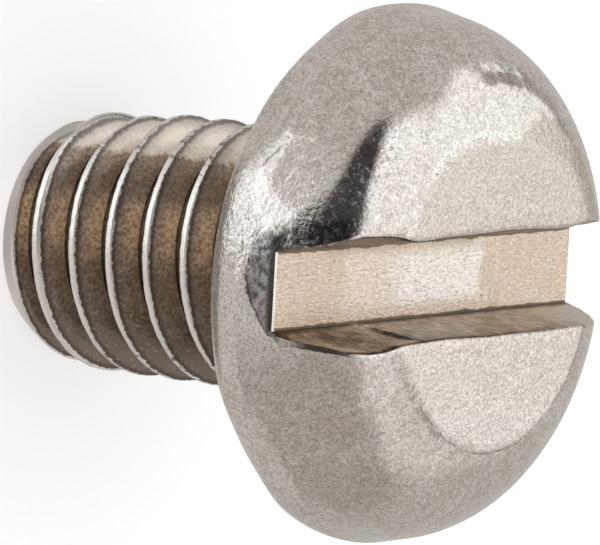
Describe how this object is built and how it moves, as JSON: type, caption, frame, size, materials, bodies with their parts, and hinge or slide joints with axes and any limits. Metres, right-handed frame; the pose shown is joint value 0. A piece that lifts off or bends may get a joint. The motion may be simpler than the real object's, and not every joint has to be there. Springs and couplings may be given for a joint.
{
  "type": "slotted pan head machine screw",
  "caption": "Short slotted pan head machine screw, fully threaded, with a nearly flat crown, rounded shoulder and worn driver slot.",
  "frame": {"origin": "centre of the bearing face under the head, on the screw's axis", "axes": "+Z along the axis from the shank out through the crown, X along the driver slot, Y across it"},
  "size_m": [0.0116, 0.0116, 0.0115],
  "materials": {
    "screw_steel": "plain steel, tumbled and slightly pitted, with browned thread grooves"
  },
  "bodies": {
    "root": {"screw": "screw_steel"}
  },
  "joints": []
}
